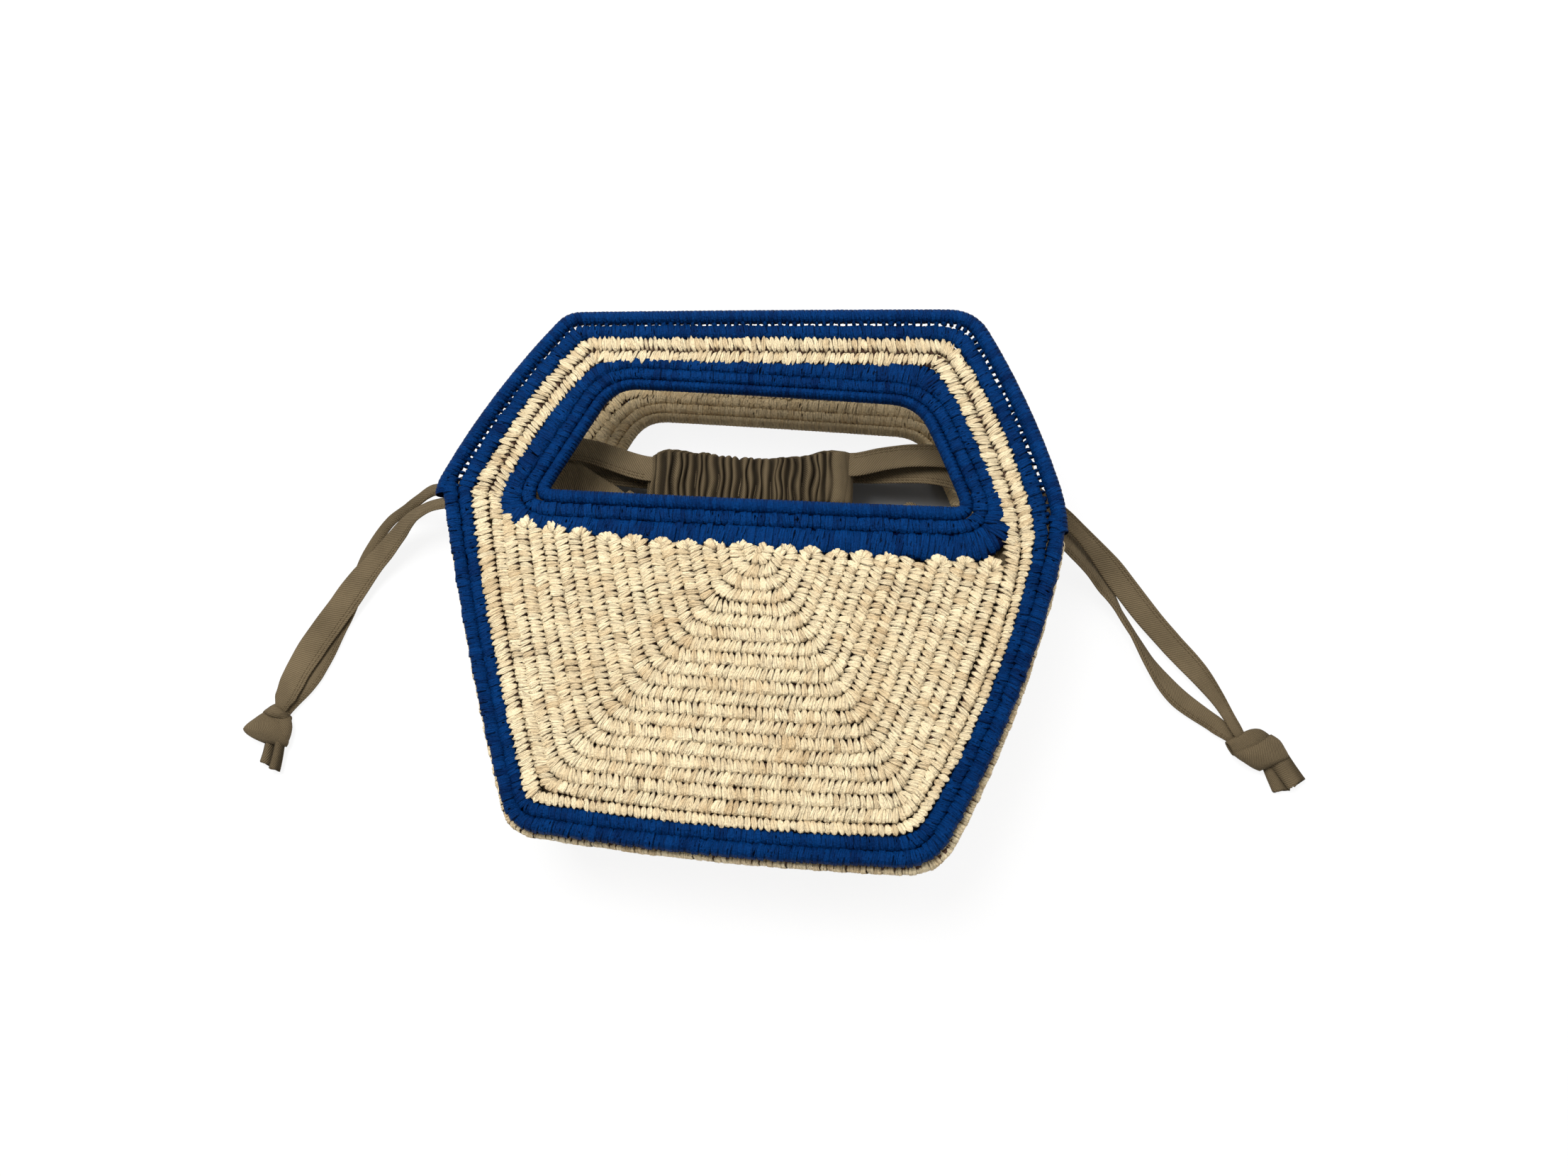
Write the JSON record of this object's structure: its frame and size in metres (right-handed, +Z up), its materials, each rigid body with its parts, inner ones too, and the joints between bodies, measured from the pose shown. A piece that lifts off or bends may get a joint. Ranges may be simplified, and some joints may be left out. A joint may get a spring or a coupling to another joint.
{
  "type": "raffia handbag",
  "caption": "Hexagonal coiled raffia bag with cut-out handles, raffia gusset, gathered cotton lining and flat knotted drawstrings, lying on its back.",
  "frame": {"origin": "on the table, under the middle of the bag's body (drawstrings left out), as it lies on its back", "axes": "+Z goes up through both panels to the front one, +Y runs from the bottom gusset to the handles, +X is to the right as seen from the front"},
  "size_m": [0.5668, 0.2964, 0.0696],
  "materials": {
    "raffia_natural": "natural straw-coloured raffia, slightly glossy strands",
    "raffia_blue": "blue-dyed raffia, slightly glossy strands",
    "twill": "matt olive-khaki cotton twill"
  },
  "bodies": {
    "back": {"back_panel_body": "raffia_natural", "back_opening_rows": "raffia_natural", "back_opening_rim": "raffia_natural", "back_outer_row": "raffia_natural", "back_top_rope": "raffia_natural", "back_lower_binding": "raffia_natural", "gusset_right": "raffia_natural", "gusset_bottom": "raffia_natural", "gusset_left": "raffia_natural", "collar_front": "twill", "collar_back": "twill", "lining_back": "twill", "lining_gusset": "twill"},
    "front": {"front_panel_body": "raffia_natural", "front_opening_rows": "raffia_blue", "front_opening_rim": "raffia_blue", "front_outer_row": "raffia_blue", "front_top_rope": "raffia_blue", "front_lower_binding": "raffia_blue", "lining_front": "twill"},
    "left_drawstring": {"left_drawstring_loop": "twill", "left_drawstring_upper_strand": "twill", "left_drawstring_lower_strand": "twill", "left_knot": "twill", "left_tail_1": "twill", "left_tail_2": "twill"},
    "right_drawstring": {"right_drawstring_loop": "twill", "right_drawstring_upper_strand": "twill", "right_drawstring_lower_strand": "twill", "right_knot": "twill", "right_tail_1": "twill", "right_tail_2": "twill"}
  },
  "joints": [
    {"name": "front_swing", "type": "hinge", "parent": "back", "child": "front", "pos_m": [0, -0.1375, 0.0623], "axis": [1, 0, 0], "range_deg": [-7, 2], "stiffness_Nm_per_rad": 20, "deforming": ["gusset_left", "gusset_right", "lining_gusset", "lining_front"]},
    {"name": "left_drawstring_pull", "type": "slide", "parent": "back", "child": "left_drawstring", "axis": [-0.999, -0.0436, 0], "range_m": [0, 0.009]},
    {"name": "right_drawstring_pull", "type": "slide", "parent": "back", "child": "right_drawstring", "axis": [0.999, 0.0436, 0], "range_m": [0, 0.009]}
  ]
}
